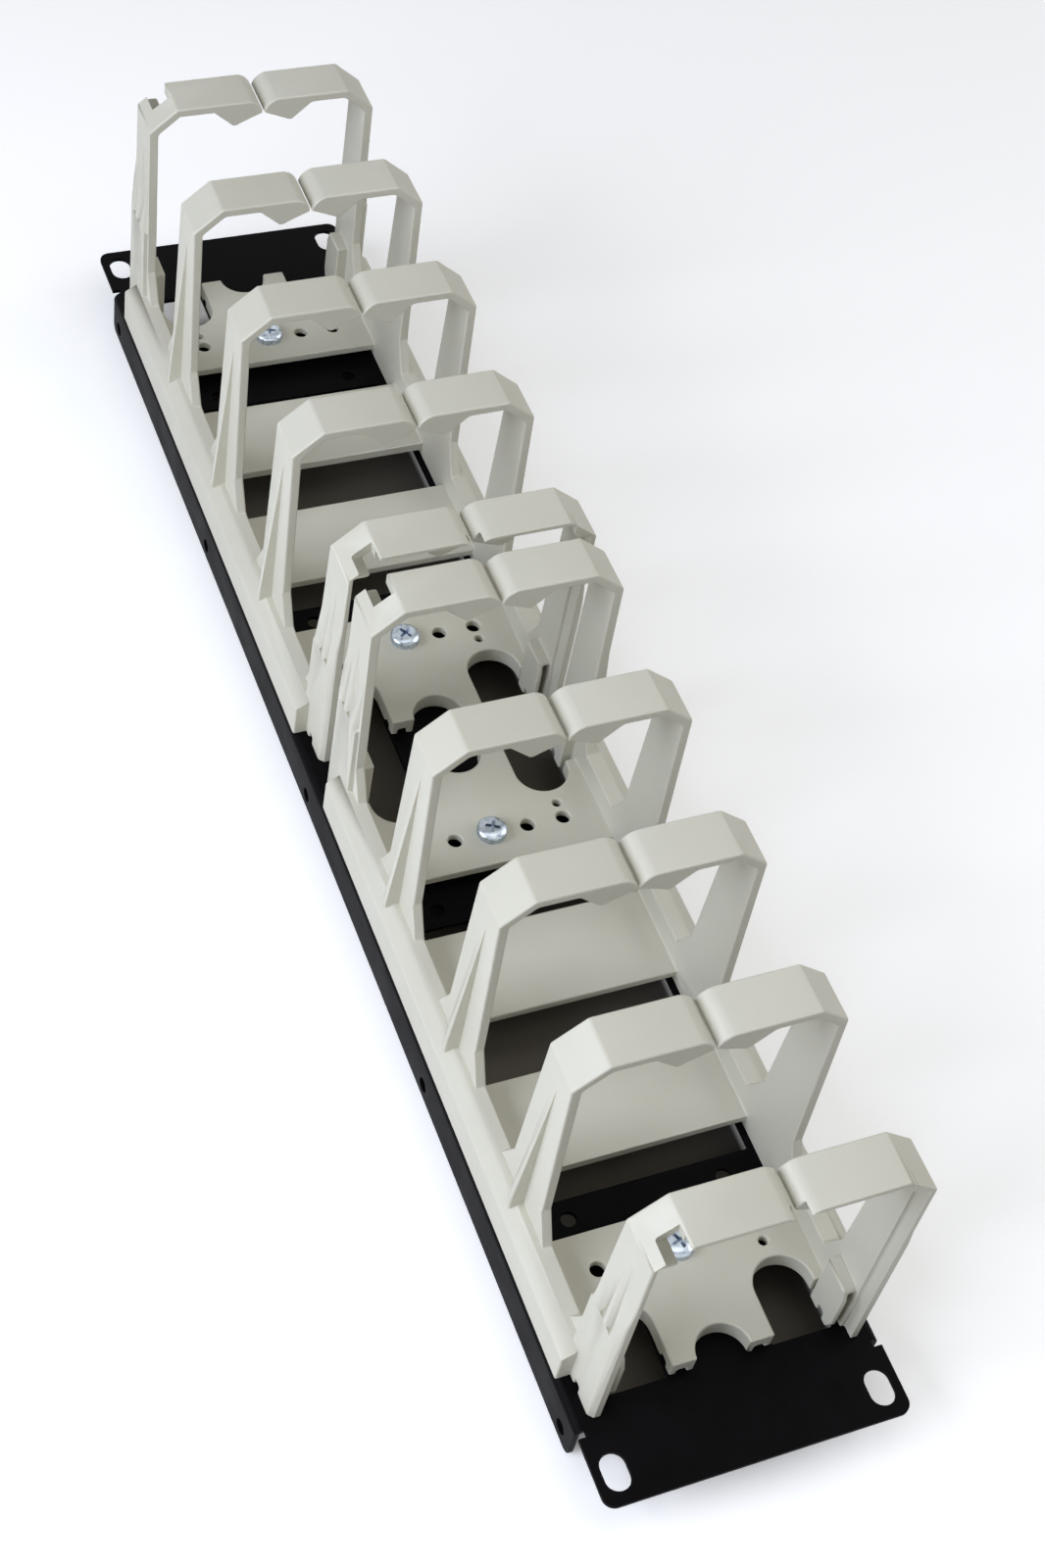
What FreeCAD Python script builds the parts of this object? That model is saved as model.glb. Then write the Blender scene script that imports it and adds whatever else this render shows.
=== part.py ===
"""Horizontal cable manager, 19 inch, 2U.

A folded steel front panel carries two identical moulded ring ducts end to
end.  Each duct has five D-shaped rings over a slotted floor and is held by two
pan-head screws with lock nuts behind the panel.

Frame: the part lies on its back, standing on the rear edges of the panel's two
folded flanges.  X runs along the 19 inch width, Y across the 2U height, and Z
points out of the front of the rack, towards the rings.  The origin is the
middle of the footprint on the flange edges.
"""
import FreeCAD, Part
import math
import os
import Sketcher

V3 = FreeCAD.Vector
doc = FreeCAD.newDocument("CableManager")

# ---------------------------------------------------------------- dimensions
SIZES = [
    # rack panel
    ("panel_length", 482.6, "19 inch panel, over the ears"),
    ("panel_height", 88.1, "2U panel, over the flanges"),
    ("sheet_thick", 1.5, "steel sheet of the panel"),
    ("flange_depth", 15.5, "front face to the rear edge of the flange"),
    ("bend_radius", 2.4, "outside radius of the two folds"),
    ("flange_corner", 3.2, "rounded ends of the flanges"),
    ("ear_length", 19.6, "flat mounting ear beyond the relief notch"),
    ("ear_corner", 3.5, "rounded outer corners of the ears"),
    ("relief_width", 1.7, "notch between ear and fold, along X"),
    ("relief_depth", 2.5, "notch between ear and fold, along Y"),
    ("slot_span_x", 465.1, "rack slots, centre to centre along X"),
    ("slot_span_y", 76.2, "rack slots, centre to centre along Y"),
    ("slot_width", 7.1, "rack slot, across"),
    ("slot_length", 10.4, "rack slot, end to end"),
    ("flange_hole", 4.5, "holes in the flanges, diameter"),
    ("flange_hole_drop", 10.6, "front face to the flange holes"),
    ("flange_hole_pitch", 106.7, "flange holes, spacing along X"),
    ("open_land", 1.5, "panel strip left beside the duct's inner wall"),
    ("open_corner", 1.0, "corner radius of the panel openings"),
    ("mid_open_length", 93.2, "large opening behind each duct's middle"),
    ("end_open_inner", 15.0, "small openings, distance from the centre line"),
    ("end_open_start", 81.0, "small openings, from the duct's centre"),
    ("spare_hole", 4.4, "spare holes, diameter"),
    ("spare_offset", 52.6, "panel's spare holes, from the duct's centre"),
    # ring duct
    ("ring_pitch", 50.0, "rings, centre to centre"),
    ("ring_depth", 15.0, "one ring, along X, at its top"),
    ("joint_gap", 5.6, "gap between the two ducts"),
    ("ring_height", 88.8, "panel face to the top of the rings"),
    ("ring_half_width", 38.0, "centre line to the outside of a leg"),
    ("ring_wall", 3.0, "legs, top bars and inner walls"),
    ("shoulder_across", 9.0, "chamfered shoulder of a ring, along Y"),
    ("shoulder_down", 7.7, "chamfered shoulder of a ring, along Z"),
    ("slit", 0.6, "finger slit in the top of each ring, at its noses"),
    ("slit_bevel_across", 4.5, "lead-in of the slit, along Y"),
    ("slit_bevel_down", 4.0, "lead-in of the slit, along Z"),
    ("slit_bevel_bulge", 1.2, "lead-in, its arc's centre beyond its upper edge"),
    ("slit_nose", 0.8, "blunt nose each side of the slit"),
    ("bead_drop", 8.6, "top of ring to where the bead's rounding begins"),
    ("bead_near", 8.4, "retaining bead's rounding, its start from the centre"),
    ("bead_far", 10.4, "retaining bead's rounding, its end from the centre"),
    ("bead_round", 1.7, "centre of that rounding above its two ends"),
    ("bead_root", 16.6, "retaining bead, where it meets the bar"),
    ("leg_taper", 2.2, "leg widens by this each side towards its foot"),
    ("leg_foot_z", 25.0, "height where the foot flare begins"),
    ("foot_flare", 5.3, "foot flare, each side"),
    ("rib_thick", 2.2, "outside rib of each leg"),
    ("rib_top_z", 72.0, "upper end of the outside rib"),
    ("rib_reach", 4.3, "outside rib at the rail, along Y"),
    ("rail_height", 14.2, "side rail"),
    ("rail_inset", 0.05, "rail's outer face inside the panel's edge"),
    ("rail_chamfer_across", 4.2, "rail's outer chamfer, along Y"),
    ("rail_chamfer_down", 2.6, "rail's outer chamfer, along Z"),
    ("rail_wall", 1.8, "rail shell and its end caps"),
    ("rail_long", 97.2, "rail end from the duct's centre, at -X"),
    ("rail_short", 94.6, "rail end from the duct's centre, at +X"),
    ("floor_top", 6.0, "top of the floor plates above the panel"),
    ("floor_thick", 3.0, "floor plates"),
    ("plate_gap", 20.0, "gap in the floor below each ring"),
    ("skirt_wall", 1.6, "skirts around the floor's notches"),
    ("tab_end", 102.6, "end of the floor tabs from the duct's centre"),
    ("wide_notch_radius", 8.4, "cable notches beside the tabs"),
    ("wide_notch_x", 89.9, "their arc centre from the duct's centre"),
    ("wide_notch_y", 23.3, "their arc centre from the centre line"),
    ("mid_notch_radius", 7.7, "notch between the tabs"),
    ("strip_end", 91.2, "end of the floor's outer strip"),
    ("tooth_width", 3.0, "small notches in the skirts"),
    ("tooth_height", 2.0, "small notches in the skirts"),
    ("top_notch_length", 6.9, "notch in an end ring's shoulder, along X"),
    ("top_notch_through", 31.6, "its open part ends here, from the centre line"),
    ("top_notch_outer", 34.9, "its outer edge from the centre line"),
    ("top_notch_ledge", 6.0, "top of ring to the ledge in the notch"),
    ("socket_depth", 3.9, "rebate inside the duct's +X end, along X"),
    ("socket_leg", 1.7, "leg left outside the rebate"),
    ("socket_skin", 1.2, "top bar left above the rebate"),
    ("socket_drop", 7.0, "top of ring to the rebate beside the shoulder"),
    ("socket_step", 30.6, "rebate's higher part ends here, from the centre line"),
    ("foot_pad", 1.7, "end leg's thickened outside"),
    ("foot_pad_z", 41.0, "top of the thickened outside"),
    ("foot_ramp_z", 60.0, "where the thickening has faded into the leg"),
    ("foot_groove", 2.2, "grooves each side of an end leg's rib"),
    ("foot_edge", 1.5, "chamfer down the outer edge of an end leg"),
    ("guide_inner", 31.0, "guide plate's inner face from the centre line"),
    ("guide_wall", 1.6, "guide plate and its web"),
    ("guide_height", 21.0, "guide plate above the panel"),
    ("guide_start", 92.7, "guide plate's inner end from the duct's centre"),
    ("guide_end", 103.9, "guide plate's outer end"),
    ("guide_corner_across", 1.5, "guide plate's upper corner, along X"),
    ("guide_corner_down", 3.8, "guide plate's upper corner, along Z"),
    ("guide_toe_across", 1.8, "guide plate's lower corner, along X"),
    ("guide_toe_up", 4.4, "guide plate's lower corner, along Z"),
    ("foot_notch", 97.0, "small notch under foot and guide, from the duct's centre"),
    ("foot_notch_length", 2.5, "that notch, along X"),
    ("foot_notch_height", 3.0, "that notch, along Z"),
    ("hole_row", 71.1, "row of holes from the duct's centre"),
    ("hole_pitch", 11.6, "holes in the row, along Y"),
    ("pip_hole", 2.6, "small locating hole, diameter"),
    ("pip_offset", 5.4, "small hole from the row, outwards"),
    ("boss", 9.0, "boss below each screw, diameter"),
    # fasteners
    ("screw_dia", 4.8, "screw shank"),
    ("screw_clear", 0.4, "clearance of the holes on the shank"),
    ("head_dia", 9.2, "pan head"),
    ("head_height", 3.1, "pan head"),
    ("head_rim", 1.7, "straight side of the pan head"),
    ("recess_width", 1.1, "cross recess, one wing"),
    ("recess_span", 5.0, "cross recess, across"),
    ("recess_depth", 1.9, "cross recess"),
    ("screw_length", 14.5, "under the head"),
    ("nut_flats", 8.0, "lock nut across flats"),
    ("nut_hex", 3.6, "lock nut, hexagon height"),
    ("nut_collar", 1.4, "lock nut, collar height"),
    ("nut_collar_dia", 7.2, "lock nut, collar diameter"),
]


class Size:
    """A number together with the sheet expression that gives it."""

    def __init__(self, value, text):
        self.v = float(value)
        self.t = text

    @staticmethod
    def of(x):
        return x if isinstance(x, Size) else Size(x, repr(float(x)))

    def __add__(self, o):
        o = Size.of(o)
        return Size(self.v + o.v, "(%s + %s)" % (self.t, o.t))

    def __radd__(self, o):
        return Size.of(o) + self

    def __sub__(self, o):
        o = Size.of(o)
        return Size(self.v - o.v, "(%s - %s)" % (self.t, o.t))

    def __rsub__(self, o):
        return Size.of(o) - self

    def __mul__(self, o):
        o = Size.of(o)
        return Size(self.v * o.v, "(%s * %s)" % (self.t, o.t))

    __rmul__ = __mul__

    def __truediv__(self, o):
        o = Size.of(o)
        return Size(self.v / o.v, "(%s / %s)" % (self.t, o.t))

    def __neg__(self):
        return Size(-self.v, "(-1 * %s)" % self.t)

    def root(self):
        return Size(math.sqrt(self.v), "sqrt(%s)" % self.t)


sheet = doc.addObject("Spreadsheet::Sheet", "Sizes")
S = {}
for row, (alias, value, note) in enumerate(SIZES, start=1):
    sheet.set("A%d" % row, alias)
    sheet.set("B%d" % row, str(value))
    sheet.set("C%d" % row, note)
    sheet.setAlias("B%d" % row, alias)
    S[alias] = Size(value, "Sizes." + alias)
doc.recompute()


class G:
    """Sizes that follow from the named ones."""


G.half_length = S["panel_length"] / 2
G.half_height = S["panel_height"] / 2
G.ear_inner = G.half_length - S["ear_length"]
G.flange_half = G.ear_inner - S["relief_width"]
G.ring_end = S["ring_pitch"] * 2 + S["ring_depth"] / 2
G.duct_centre = G.ring_end + S["joint_gap"] / 2
G.leg_out = S["ring_half_width"]
G.leg_in = S["ring_half_width"] - S["ring_wall"]
G.rail_out = G.half_height - S["rail_inset"]
G.open_half = G.leg_in - S["open_land"]
G.top = S["ring_height"]
_hyp = (S["shoulder_across"] * S["shoulder_across"]
        + S["shoulder_down"] * S["shoulder_down"]).root()
# an inner corner of the ring lies this share of the wall inside the outer one
G.mitre_leg = (_hyp - S["shoulder_down"]) / S["shoulder_across"]
G.mitre_bar = (_hyp - S["shoulder_across"]) / S["shoulder_down"]
G.screw_bore = S["screw_dia"] + S["screw_clear"]


# ------------------------------------------------------------------- helpers
def body(name):
    b = doc.addObject("PartDesign::Body", name)
    b.Label = name
    return b


def sketch(b, name, plane, offset=None):
    sk = b.newObject("Sketcher::SketchObject", name)
    face = [f for f in b.Origin.OriginFeatures if f.Role == plane][0]
    sk.AttachmentSupport = (face, "")
    sk.MapMode = "FlatFace"
    if offset is not None:
        sk.setExpression("AttachmentOffset.Base.z", Size.of(offset).t)
    return sk


class Ties:
    """Collects the constraints of one outline and adds them together."""

    def __init__(self, sk):
        self.sk, self.items = sk, []

    def add(self, *args):
        self.items.append((Sketcher.Constraint(*args), None))

    def size(self, kind, args, size):
        size = Size.of(size)
        self.items.append((Sketcher.Constraint(kind, *args, size.v), size.t))

    def pin(self, geo, pos, x, y):
        """Fixes one point of the sketch at (x, y)."""
        for kind, val, axis in (("DistanceX", x, -2), ("DistanceY", y, -1)):
            if isinstance(val, (int, float)) and val == 0:
                self.add("PointOnObject", geo, pos, axis)
            else:
                self.size(kind, (-1, 1, geo, pos), val)

    def done(self):
        first = self.sk.ConstraintCount
        self.sk.addConstraint([c for c, _ in self.items])
        for i, (_, text) in enumerate(self.items, start=first):
            if text is not None:
                self.sk.renameConstraint(i, "d%d" % i)
                self.sk.setExpression("Constraints.d%d" % i, text)


def circle(sk, x, y, dia):
    dia = Size.of(dia)
    c = V3(Size.of(x).v, Size.of(y).v, 0)
    g = sk.addGeometry(Part.Circle(c, V3(0, 0, 1), dia.v / 2), False)
    ties = Ties(sk)
    ties.pin(g, 3, x, y)
    ties.size("Diameter", (g,), dia)
    ties.done()
    return g


def wire(sk, pts, arcs=None):
    """A closed outline through pts.  arcs = {i: (cx, cy, 'ccw' or 'cw', axis)}
    turns the run from point i to the next into an arc about (cx, cy)."""
    arcs = arcs or {}
    n = len(pts)
    xy = [(Size.of(p[0]).v, Size.of(p[1]).v) for p in pts]
    shapes, ends = [], []
    for i in range(n):
        a, c = xy[i], xy[(i + 1) % n]
        if i in arcs:
            cx, cy, turn, axis = arcs[i]
            cxv, cyv = Size.of(cx).v, Size.of(cy).v
            r = math.hypot(a[0] - cxv, a[1] - cyv)
            t0 = math.atan2(a[1] - cyv, a[0] - cxv)
            t1 = math.atan2(c[1] - cyv, c[0] - cxv)
            if turn == "cw":
                t0, t1 = t1, t0
            while t1 <= t0:
                t1 += 2 * math.pi
            shapes.append(Part.ArcOfCircle(Part.Circle(V3(cxv, cyv, 0), V3(0, 0, 1), r), t0, t1))
            ends.append((1, 2) if turn == "ccw" else (2, 1))
        else:
            shapes.append(Part.LineSegment(V3(*a, 0), V3(*c, 0)))
            ends.append((1, 2))
    geo = list(sk.addGeometry(shapes, False))
    ties = Ties(sk)
    for i in range(n):
        j = (i + 1) % n
        ties.add("Coincident", geo[i], ends[i][1], geo[j], ends[j][0])
    for i in range(n):
        ties.pin(geo[i], ends[i][0], *pts[i])
    for i, (cx, cy, turn, axis) in arcs.items():
        kind, val, line = (("DistanceX", cx, -2) if axis == "x" else ("DistanceY", cy, -1))
        if isinstance(val, (int, float)) and val == 0:
            ties.add("PointOnObject", geo[i], 3, line)
        else:
            ties.size(kind, (-1, 1, geo[i], 3), val)
    ties.done()
    return geo


def rounded(sk, x0, x1, y0, y1, r):
    """A rectangle with rounded corners, x0 < x1 and y0 < y1."""
    pts = [(x0 + r, y0), (x1 - r, y0), (x1, y0 + r), (x1, y1 - r),
           (x1 - r, y1), (x0 + r, y1), (x0, y1 - r), (x0, y0 + r)]
    arcs = {1: (x1 - r, y0 + r, "ccw", "x"), 3: (x1 - r, y1 - r, "ccw", "x"),
            5: (x0 + r, y1 - r, "ccw", "x"), 7: (x0 + r, y0 + r, "ccw", "x")}
    wire(sk, pts, arcs)


def pad(b, name, sk, length, both=False, down=False):
    f = b.newObject("PartDesign::Pad", name)
    f.Profile = sk
    f.setExpression("Length", Size.of(length).t)
    f.Length = Size.of(length).v
    f.Midplane = both
    f.Reversed = down
    sk.Visibility = False
    b.Tip = f
    return f


def pocket(b, name, sk, length=None, both=False, flip=False):
    f = b.newObject("PartDesign::Pocket", name)
    f.Profile = sk
    if length is None:
        f.Type = 1
    else:
        f.setExpression("Length", Size.of(length).t)
        f.Length = Size.of(length).v
    f.Midplane = both
    f.Reversed = flip
    sk.Visibility = False
    b.Tip = f
    return f


def check_cut(b, before, what):
    doc.recompute()
    after = b.Shape.Volume
    if not after < before - 1e-3:
        raise RuntimeError("%s removed nothing from %s" % (what, b.Label))
    return after


# --------------------------------------------------------------- front panel
def front_panel():
    b = body("front_panel")
    t, r = S["sheet_thick"], S["bend_radius"]
    hh, fd = G.half_height, S["flange_depth"]
    # folded channel, section across the panel
    sk = sketch(b, "ChannelSection", "YZ_Plane")
    pts = [(-hh, -fd), (-hh + t, -fd), (-hh + t, -r), (-hh + r, -t),
           (hh - r, -t), (hh - t, -r), (hh - t, -fd), (hh, -fd),
           (hh, -r), (hh - r, 0), (-hh + r, 0), (-hh, -r)]
    arcs = {2: (-hh + r, -r, "cw", "x"), 4: (hh - r, -r, "cw", "x"),
            8: (hh - r, -r, "ccw", "x"), 10: (-hh + r, -r, "ccw", "x")}
    wire(sk, pts, arcs)
    pad(b, "FoldedChannel", sk, G.flange_half * 2, both=True)
    # flat plate with the two ears
    e, k = G.ear_inner, hh - S["relief_depth"]
    L, c = G.half_length, S["ear_corner"]
    sk = sketch(b, "PlateOutline", "XY_Plane")
    pts = [(-L + c, -hh), (-e, -hh), (-e, -k), (e, -k), (e, -hh), (L - c, -hh),
           (L, -hh + c), (L, hh - c), (L - c, hh), (e, hh), (e, k), (-e, k),
           (-e, hh), (-L + c, hh), (-L, hh - c), (-L, -hh + c)]
    arcs = {5: (L - c, -hh + c, "ccw", "x"), 7: (L - c, hh - c, "ccw", "x"),
            13: (-L + c, hh - c, "ccw", "x"), 15: (-L + c, -hh + c, "ccw", "x")}
    wire(sk, pts, arcs)
    pad(b, "PlateWithEars", sk, t, down=True)
    doc.recompute()
    vol = b.Shape.Volume
    # rack slots, long way along X
    sk = sketch(b, "RackSlots", "XY_Plane")
    h, w = (S["slot_length"] - S["slot_width"]) / 2, S["slot_width"] / 2
    for sx in (-1, 1):
        for sy in (-1, 1):
            x, y = S["slot_span_x"] / 2 * sx, S["slot_span_y"] / 2 * sy
            wire(sk, [(x - h, y - w), (x + h, y - w), (x + h, y + w), (x - h, y + w)],
                 {1: (x + h, y, "ccw", "x"), 3: (x - h, y, "ccw", "x")})
    pocket(b, "RackSlotCut", sk, t * 2, both=True)
    vol = check_cut(b, vol, "RackSlotCut")
    # cable openings behind the ducts
    sk = sketch(b, "CableOpenings", "XY_Plane")
    oc, oh, oi = S["open_corner"], G.open_half, S["end_open_inner"]
    for s in (-1, 1):
        m = S["mid_open_length"] / 2
        x = G.duct_centre * s
        rounded(sk, x - m, x + m, -oh, oh, oc)
        near, far = G.duct_centre + S["end_open_start"], G.duct_centre + S["tab_end"] + 0.1
        x0, x1 = (near, far) if s > 0 else (-far, -near)
        rounded(sk, x0, x1, oi, oh, oc)
        rounded(sk, x0, x1, -oh, -oi, oc)
    j = G.duct_centre - S["end_open_start"]
    rounded(sk, -j, j, oi, oh, oc)
    rounded(sk, -j, j, -oh, -oi, oc)
    pocket(b, "CableOpeningCut", sk, t * 2, both=True)
    vol = check_cut(b, vol, "CableOpeningCut")
    # screw holes on the centre line, spare holes beside the large openings
    sk = sketch(b, "PanelHoles", "XY_Plane")
    for s in (-1, 1):
        for q in (-1, 1):
            circle(sk, G.duct_centre * s + S["hole_row"] * q, 0, G.screw_bore)
            for sy in (-1, 1):
                circle(sk, G.duct_centre * s + S["spare_offset"] * q,
                       S["wide_notch_y"] * sy, S["spare_hole"])
    pocket(b, "PanelHoleCut", sk, t * 2, both=True)
    vol = check_cut(b, vol, "PanelHoleCut")
    # five holes along both flanges
    sk = sketch(b, "FlangeHoles", "XZ_Plane")
    for i in range(-2, 3):
        x = S["flange_hole_pitch"] * i if i else 0
        circle(sk, x, -S["flange_hole_drop"], S["flange_hole"])
    pocket(b, "FlangeHoleCut", sk, S["panel_height"] + 2, both=True)
    vol = check_cut(b, vol, "FlangeHoleCut")
    # rounded lower ends of the flanges
    sk = sketch(b, "FlangeEnds", "XZ_Plane")
    fc, fl = S["flange_corner"], G.flange_half
    for s in (-1, 1):
        wire(sk, [((fl - fc) * s, -fd), ((fl + 1) * s, -fd - 1), (fl * s, -fd + fc)],
             {2: ((fl - fc) * s, -fd + fc, "cw" if s > 0 else "ccw", "x")})
    pocket(b, "FlangeEndCut", sk, S["panel_height"] + 2, both=True)
    check_cut(b, vol, "FlangeEndCut")
    b.setExpression("Placement.Base.z", S["flange_depth"].t)
    return b


# ----------------------------------------------------------------- ring duct
def place_duct(b, side):
    b.setExpression("Placement.Base.x", (G.duct_centre * side).t)
    b.setExpression("Placement.Base.z", S["flange_depth"].t)
    return b


def ring_duct(name, side):
    """One moulding, drawn about its own centre with the panel's face at Z 0."""
    b = body(name)
    ro, ri, H, w = G.leg_out, G.leg_in, G.top, S["ring_wall"]
    end, out = G.ring_end, G.rail_out
    rh, p = S["rail_height"], S["ring_pitch"]

    def sk_(label, plane, offset=None):
        return sketch(b, name + "_" + label, plane, offset)

    # the D-shaped section with its slit, run along the whole duct
    sk = sk_("RingSection", "YZ_Plane")
    g = S["slit"] / 2
    lead = g + S["slit_bevel_across"]
    half = [
        (ri, 0), (ro, 0), (ro, H - S["shoulder_down"]), (ro - S["shoulder_across"], H),
        (lead, H), (g, H - S["slit_bevel_down"]),
        (g, H - S["slit_bevel_down"] - S["slit_nose"]),
        (S["bead_near"], H - S["bead_drop"]), (S["bead_far"], H - S["bead_drop"]),
        (S["bead_root"], H - w),
        (ro - S["shoulder_across"] - w * G.mitre_bar, H - w),
        (ri, H - S["shoulder_down"] - w * G.mitre_leg),
    ]
    # the lead-in bulges outwards and the bead is rounded below
    bulge, bead_y = lead + S["slit_bevel_bulge"], H - S["bead_drop"] + S["bead_round"]
    # an arc's other centre coordinate follows from its two ends
    rise = (half[5][1].v - H.v, half[5][0].v - lead.v)
    mid = ((H.v + half[5][1].v) / 2, (lead.v + g.v) / 2)
    bulge_y = mid[0] - (bulge.v - mid[1]) * rise[1] / rise[0]
    bead_x = (S["bead_near"] + S["bead_far"]) / 2
    wire(sk, half, {4: (bulge, bulge_y, "ccw", "x"), 7: (bead_x, bead_y, "ccw", "y")})
    wire(sk, [(-Size.of(q[0]), q[1]) for q in half],
         {4: (-bulge, bulge_y, "cw", "x"), 7: (-bead_x, bead_y, "cw", "y")})
    pad(b, name + "_RingTunnel", sk, end * 2, both=True)
    doc.recompute()
    vol = b.Shape.Volume
    # openings between the rings, seen from the side
    sk = sk_("RingGaps", "XZ_Plane")
    half_gap = (p - S["ring_depth"]) / 2
    neck = half_gap - S["leg_taper"]
    foot = neck - S["foot_flare"]
    sh, lf = H - S["shoulder_down"], S["leg_foot_z"]
    for i in range(4):
        x = p * (i - 1.5)
        wire(sk, [(x - foot, rh), (x + foot, rh), (x + neck, lf), (x + half_gap, sh),
                  (x + half_gap, H + 2), (x - half_gap, H + 2), (x - half_gap, sh),
                  (x - neck, lf)])
    pocket(b, name + "_RingGapCut", sk, ro * 4, both=True)
    vol = check_cut(b, vol, "RingGapCut")
    # end legs: thicker outside below, cleared inside
    sk = sk_("FootPadSection", "XZ_Plane")
    ring_x, fz = p * 2, S["foot_pad_z"]
    wide = S["ring_depth"] / 2 + S["leg_taper"]
    for s in (-1, 1):
        wire(sk, [((ring_x - wide) * s, 0), (end * s, 0), (end * s, fz),
                  ((ring_x - wide + 1) * s, fz)])
    pad(b, name + "_FootPads", sk, (ro + S["foot_pad"]) * 2, both=True)
    doc.recompute()
    vol = b.Shape.Volume
    sk = sk_("TunnelClear", "YZ_Plane")
    wire(sk, [(-ri, -1), (ri, -1), (ri, fz + 1), (-ri, fz + 1)])
    pocket(b, name + "_TunnelClearCut", sk, end * 2 + 2, both=True)
    vol = check_cut(b, vol, "TunnelClearCut")
    # rebate inside the +X end, which takes the next duct's end
    sk = sk_("SocketSection", "YZ_Plane", end - S["socket_depth"])
    si, sz, st = ro - S["socket_leg"], H - S["socket_drop"], S["socket_step"]
    wire(sk, [(-si, -1), (si, -1), (si, sz), (st, sz), (st, H - S["socket_skin"]),
              (-st, H - S["socket_skin"]), (-st, sz), (-si, sz)])
    pocket(b, name + "_SocketCut", sk, S["socket_depth"] + 1, flip=True)
    vol = check_cut(b, vol, "SocketCut")
    # guide plates inside the end legs, joined to them by a web
    sk = sk_("GuideOutline", "XZ_Plane")
    gs, ge, gh = S["guide_start"], S["guide_end"], S["guide_height"]
    gi, gw = S["guide_inner"], S["guide_wall"]
    for s in (-1, 1):
        wire(sk, [(gs * s, 0), ((ge - S["guide_toe_across"]) * s, 0),
                  (ge * s, S["guide_toe_up"]), (ge * s, gh - S["guide_corner_down"]),
                  ((ge - S["guide_corner_across"]) * s, gh), (gs * s, gh)])
    pad(b, name + "_GuideBlock", sk, (ri + S["socket_leg"]) * 2, both=True)
    doc.recompute()
    vol = b.Shape.Volume
    sk = sk_("GuideClear", "YZ_Plane")
    wire(sk, [(-gi, -1), (gi, -1), (gi, gh + 1), (-gi, gh + 1)])
    pocket(b, name + "_GuideClearCut", sk, end * 2 + 2, both=True)
    vol = check_cut(b, vol, "GuideClearCut")
    for s in (-1, 1):
        tag = "L" if s < 0 else "R"
        sk = sk_("GuideChannel" + tag, "YZ_Plane", (gs + gw) * s)
        for sy in (-1, 1):
            wire(sk, [((gi + gw) * sy, -1), (ri * sy, -1), (ri * sy, gh - gw),
                      ((gi + gw) * sy, gh - gw)])
        pocket(b, name + "_GuideChannelCut" + tag, sk, ge - gs + 5, flip=(s > 0))
        vol = check_cut(b, vol, "GuideChannelCut")
    # small notches under the end legs and the guide plates
    sk = sk_("FootNotches", "XZ_Plane")
    fn, fh = S["foot_notch"], S["foot_notch_height"]
    fe = fn + S["foot_notch_length"]
    for s in (-1, 1):
        wire(sk, [(fn * s, -1), (fe * s, -1), (fe * s, fh), (fn * s, fh)])
    pocket(b, name + "_FootNotchCut", sk, out * 2 + 2, both=True)
    vol = check_cut(b, vol, "FootNotchCut")
    # side rails, outside the inner walls
    sk = sk_("RailSection", "YZ_Plane", -S["rail_long"])
    lip = ri + 0.5
    rail = [(lip, 0), (out, 0), (out, rh - S["rail_chamfer_down"]),
            (out - S["rail_chamfer_across"], rh), (lip, rh)]
    wire(sk, rail)
    wire(sk, [(-q[0], q[1]) for q in rail])
    pad(b, name + "_Rails", sk, S["rail_long"] + S["rail_short"])
    # central rib on the outside of each leg; it fades into the end legs' pads
    for i in range(-2, 3):
        tag = "ABCDE"[i + 2]
        sk = sk_("RibSection" + tag, "YZ_Plane", p * i)
        if abs(i) == 2:
            reach, low = S["foot_pad"], fz
        else:
            reach, low = S["rib_reach"], rh
        for sy in (-1, 1):
            wire(sk, [((ro - 0.5) * sy, low - 1), ((ro + reach) * sy, low - 1),
                      ((ro + reach) * sy, low), (ro * sy, S["rib_top_z"]),
                      ((ro - 0.5) * sy, S["rib_top_z"])])
        pad(b, name + "_Rib" + tag, sk, S["rib_thick"], both=True)
    # the end legs' thickening fades out upwards, beside two grooves at the rib
    groove = S["rib_thick"] / 2 + S["foot_groove"]
    low, inner = S["foot_ramp_z"], ring_x - S["ring_depth"] / 2
    for s in (-1, 1):
        for q, start, length in (("In", inner, ring_x - groove - inner),
                                 ("Out", ring_x + groove, end - ring_x - groove)):
            sk = sk_("FootRamp" + q + ("L" if s < 0 else "R"), "YZ_Plane", start * s)
            for sy in (-1, 1):
                wire(sk, [((ro - 0.5) * sy, fz - 1), ((ro + S["foot_pad"]) * sy, fz - 1),
                          ((ro + S["foot_pad"]) * sy, fz), (ro * sy, low), ((ro - 0.5) * sy, low)])
            pad(b, name + "_FootRamp" + q + ("L" if s < 0 else "R"), sk, length, down=(s < 0))
    doc.recompute()
    vol = b.Shape.Volume
    # chamfer down the outer edge of the end legs
    sk = sk_("FootEdges", "XY_Plane")
    fe, far = S["foot_edge"], ro + S["foot_pad"] + 1
    for s in (-1, 1):
        for sy in (-1, 1):
            wire(sk, [((end + 1) * s, (far - fe - 2) * sy), ((end + 1) * s, far * sy),
                      ((end - fe - 1) * s, far * sy)])
    pocket(b, name + "_FootEdgeCut", sk, low, flip=True)
    vol = check_cut(b, vol, "FootEdgeCut")
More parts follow.
